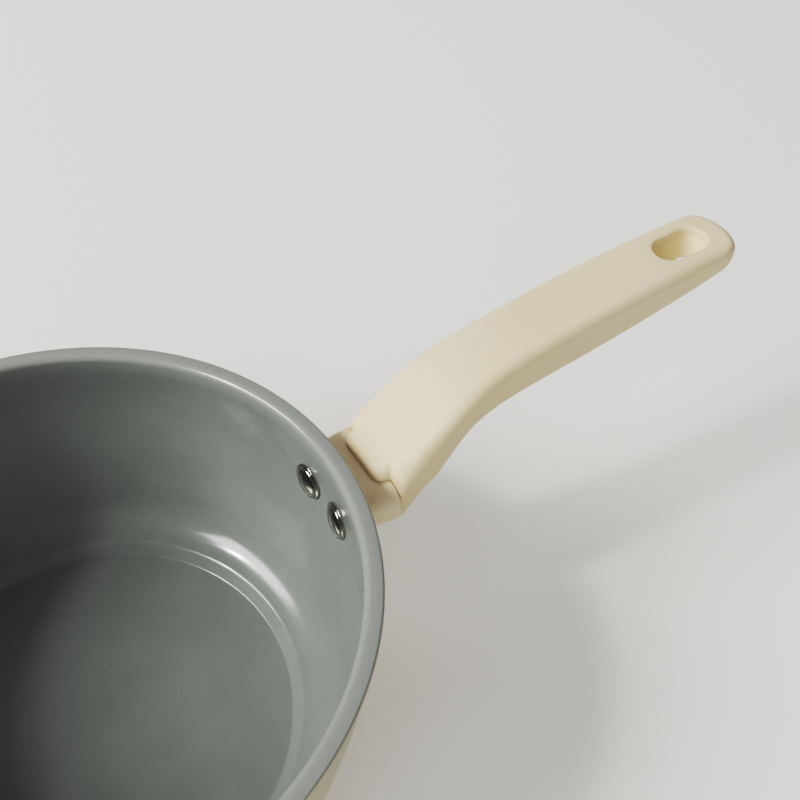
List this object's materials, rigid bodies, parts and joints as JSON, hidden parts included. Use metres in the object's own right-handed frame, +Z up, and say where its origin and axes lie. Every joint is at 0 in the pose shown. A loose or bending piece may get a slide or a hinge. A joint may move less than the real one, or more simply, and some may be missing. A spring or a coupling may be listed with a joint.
{
  "type": "saucepan",
  "caption": "Open saucepan with a flared flat lip, coated inside and out, and one moulded handle riveted on through a bracket.",
  "frame": {"origin": "centre of the base's resting face", "axes": "+Z up along the pan's axis, +X along the handle, from the pan to the hanging slot"},
  "size_m": [0.3781, 0.212, 0.1156],
  "materials": {
    "pan_coating": "satin ceramic coating, grey inside and on the lip, cream outside",
    "base_steel": "brushed in rings",
    "bracket_paint": "smooth tan paint on a casting",
    "rivet_steel": "polished",
    "grip_resin": "soft-touch cream",
    "screw_steel": "plain"
  },
  "bodies": {
    "root": {"pan_body": "pan_coating", "induction_base_plate": "base_steel", "handle_bracket": "bracket_paint", "rivet_left": "rivet_steel", "rivet_right": "rivet_steel", "handle_grip": "grip_resin", "handle_screw": "screw_steel", "screw_lock_washer": "screw_steel"}
  },
  "joints": []
}
